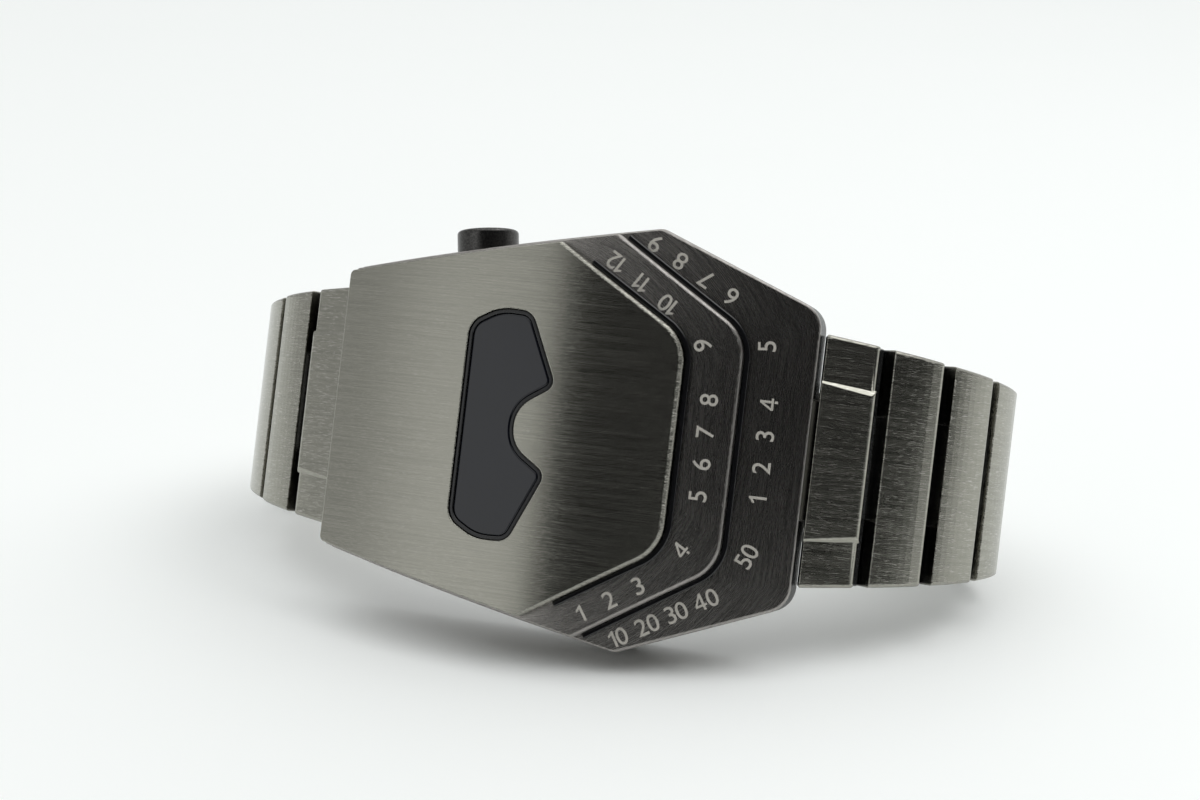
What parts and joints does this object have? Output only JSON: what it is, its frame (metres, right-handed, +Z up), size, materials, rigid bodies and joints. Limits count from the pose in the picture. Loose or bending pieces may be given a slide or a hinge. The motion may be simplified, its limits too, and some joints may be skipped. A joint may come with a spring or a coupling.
{
  "type": "digital wristwatch",
  "caption": "Wristwatch with a stepped shield-shaped steel case, dark window, glowing strip displays, side pusher and a hinged link bracelet closed by a folding clasp.",
  "frame": {"origin": "middle of the bounding box, on the surface that the watch lies on", "axes": "+X from 12 o'clock to 6 o'clock, +Y from the front of the case towards the clasp, +Z up, out of the surface, on the pusher's side"},
  "size_m": [0.0864, 0.0542, 0.0427],
  "materials": {
    "coated_steel": "brushed, dark grey coating",
    "pusher_steel": "fine satin, black coating",
    "bare_steel": "satin, uncoated",
    "smoked_lens": "polished, smoked grey",
    "smoked_strip": "glossy, smoked black",
    "light_emitter": "translucent warm white",
    "display_black": "gloss",
    "board_green": "solder mask",
    "chip_black": "matt moulded",
    "contact_metal": "gold-plated spring sheet",
    "black_rubber": "matt"
  },
  "bodies": {
    "case": {"case_body": "coated_steel", "hour_tier": "coated_steel", "top_cover": "coated_steel", "display_lens": "smoked_lens", "lens_gasket": "black_rubber", "hour_light_strip": "smoked_strip", "minute_light_strip": "smoked_strip", "hour_leds": "light_emitter", "minute_leds": "light_emitter", "display_module": "display_black", "circuit_board": "board_green", "controller_chip": "chip_black", "quartz_crystal": "bare_steel", "module_frame": "chip_black", "battery_cells": "bare_steel", "battery_clip": "contact_metal", "button_contact": "contact_metal", "cover_screws": "bare_steel", "case_back": "bare_steel", "case_back_gasket": "black_rubber", "case_back_screws": "bare_steel", "pusher_tube": "bare_steel", "pusher_gasket": "black_rubber", "pusher_spring": "bare_steel", "spring_bar_6": "bare_steel", "spring_bar_12": "bare_steel"},
    "pusher": {"pusher": "pusher_steel", "pusher_clip": "bare_steel"},
    "end_link_6": {"end_link_6": "coated_steel", "pin_6_1": "bare_steel"},
    "link_6_1": {"link_6_1": "coated_steel", "pin_6_2": "bare_steel"},
    "link_6_2": {"link_6_2": "coated_steel", "pin_6_3": "bare_steel"},
    "link_6_3": {"link_6_3": "coated_steel", "pin_6_4": "bare_steel"},
    "link_6_4": {"link_6_4": "coated_steel", "pin_6_5": "bare_steel"},
    "link_6_5": {"link_6_5": "coated_steel", "pin_6_6": "bare_steel"},
    "link_6_6": {"link_6_6": "coated_steel", "clasp_end_pin": "bare_steel"},
    "end_link_12": {"end_link_12": "coated_steel", "pin_12_1": "bare_steel"},
    "link_12_1": {"link_12_1": "coated_steel", "pin_12_2": "bare_steel"},
    "link_12_2": {"link_12_2": "coated_steel", "pin_12_3": "bare_steel"},
    "link_12_3": {"link_12_3": "coated_steel", "pin_12_4": "bare_steel"},
    "link_12_4": {"link_12_4": "coated_steel", "pin_12_5": "bare_steel"},
    "link_12_5": {"link_12_5": "coated_steel", "pin_12_6": "bare_steel"},
    "link_12_6": {"link_12_6": "coated_steel", "clasp_spring_bar": "bare_steel"},
    "clasp_inner": {"clasp_inner_blade": "bare_steel"},
    "clasp_middle": {"clasp_middle_blade": "bare_steel", "clasp_hinge_pins": "bare_steel"},
    "clasp_cover": {"clasp_cover": "coated_steel"}
  },
  "joints": [
    {"name": "pusher_press", "type": "slide", "parent": "case", "child": "pusher", "axis": [0.1392, -0.3286, -0.9342], "range_m": [0, 0.0008], "stiffness_N_per_m": 600, "springref_m": -0.0005, "deforming": ["pusher_spring"]},
    {"name": "end_hinge_6", "type": "hinge", "parent": "case", "child": "end_link_6", "pos_m": [0.02335, -0.0124, 0.0207], "axis": [0, -0.3318, -0.9433], "range_deg": [0, 8]},
    {"name": "hinge_6_1", "type": "hinge", "parent": "end_link_6", "child": "link_6_1", "pos_m": [0.02915, -0.00996, 0.01985], "axis": [0, -0.3318, -0.9433], "range_deg": [0, 15]},
    {"name": "hinge_6_2", "type": "hinge", "parent": "link_6_1", "child": "link_6_2", "pos_m": [0.03494, -0.00554, 0.01829], "axis": [0, -0.3318, -0.9433], "range_deg": [0, 15]},
    {"name": "hinge_6_3", "type": "hinge", "parent": "link_6_2", "child": "link_6_3", "pos_m": [0.03932, 0.00015, 0.01629], "axis": [0, -0.3318, -0.9433], "range_deg": [0, 21]},
    {"name": "hinge_6_4", "type": "hinge", "parent": "link_6_3", "child": "link_6_4", "pos_m": [0.04125, 0.00694, 0.0139], "axis": [0, -0.3318, -0.9433], "range_deg": [0, 32]},
    {"name": "hinge_6_5", "type": "hinge", "parent": "link_6_4", "child": "link_6_5", "pos_m": [0.03907, 0.01366, 0.01154], "axis": [0, -0.3318, -0.9433], "range_deg": [0, 30]},
    {"name": "hinge_6_6", "type": "hinge", "parent": "link_6_5", "child": "link_6_6", "pos_m": [0.03362, 0.01845, 0.00985], "axis": [0, -0.3318, -0.9433], "range_deg": [0, 25]},
    {"name": "end_hinge_12", "type": "hinge", "parent": "case", "child": "end_link_12", "pos_m": [-0.02335, -0.0124, 0.0207], "axis": [0, 0.3318, 0.9433], "range_deg": [0, 8]},
    {"name": "hinge_12_1", "type": "hinge", "parent": "end_link_12", "child": "link_12_1", "pos_m": [-0.02915, -0.00996, 0.01985], "axis": [0, 0.3318, 0.9433], "range_deg": [0, 15]},
    {"name": "hinge_12_2", "type": "hinge", "parent": "link_12_1", "child": "link_12_2", "pos_m": [-0.03494, -0.00554, 0.01829], "axis": [0, 0.3318, 0.9433], "range_deg": [0, 15]},
    {"name": "hinge_12_3", "type": "hinge", "parent": "link_12_2", "child": "link_12_3", "pos_m": [-0.03932, 0.00015, 0.01629], "axis": [0, 0.3318, 0.9433], "range_deg": [0, 21]},
    {"name": "hinge_12_4", "type": "hinge", "parent": "link_12_3", "child": "link_12_4", "pos_m": [-0.04125, 0.00694, 0.0139], "axis": [0, 0.3318, 0.9433], "range_deg": [0, 32]},
    {"name": "hinge_12_5", "type": "hinge", "parent": "link_12_4", "child": "link_12_5", "pos_m": [-0.03907, 0.01366, 0.01154], "axis": [0, 0.3318, 0.9433], "range_deg": [0, 30]},
    {"name": "hinge_12_6", "type": "hinge", "parent": "link_12_5", "child": "link_12_6", "pos_m": [-0.03362, 0.01845, 0.00985], "axis": [0, 0.3318, 0.9433], "range_deg": [0, 25]},
    {"name": "clasp_end_hinge", "type": "hinge", "parent": "link_6_6", "child": "clasp_inner", "pos_m": [0.02654, 0.02062, 0.00909], "axis": [0, -0.3318, -0.9433], "range_deg": [0, 8]},
    {"name": "blade_fold", "type": "hinge", "parent": "clasp_inner", "child": "clasp_middle", "pos_m": [-0.01872, 0.02091, 0.00899], "axis": [0, 0.3318, 0.9433], "range_deg": [0, 160]},
    {"name": "cover_fold", "type": "hinge", "parent": "clasp_middle", "child": "clasp_cover", "pos_m": [0.01883, 0.02175, 0.00869], "axis": [0, -0.3318, -0.9433], "range_deg": [0, 160]}
  ],
  "couplings": [
    {"joint": "cover_fold", "follows": "blade_fold", "ratio": 1}
  ]
}
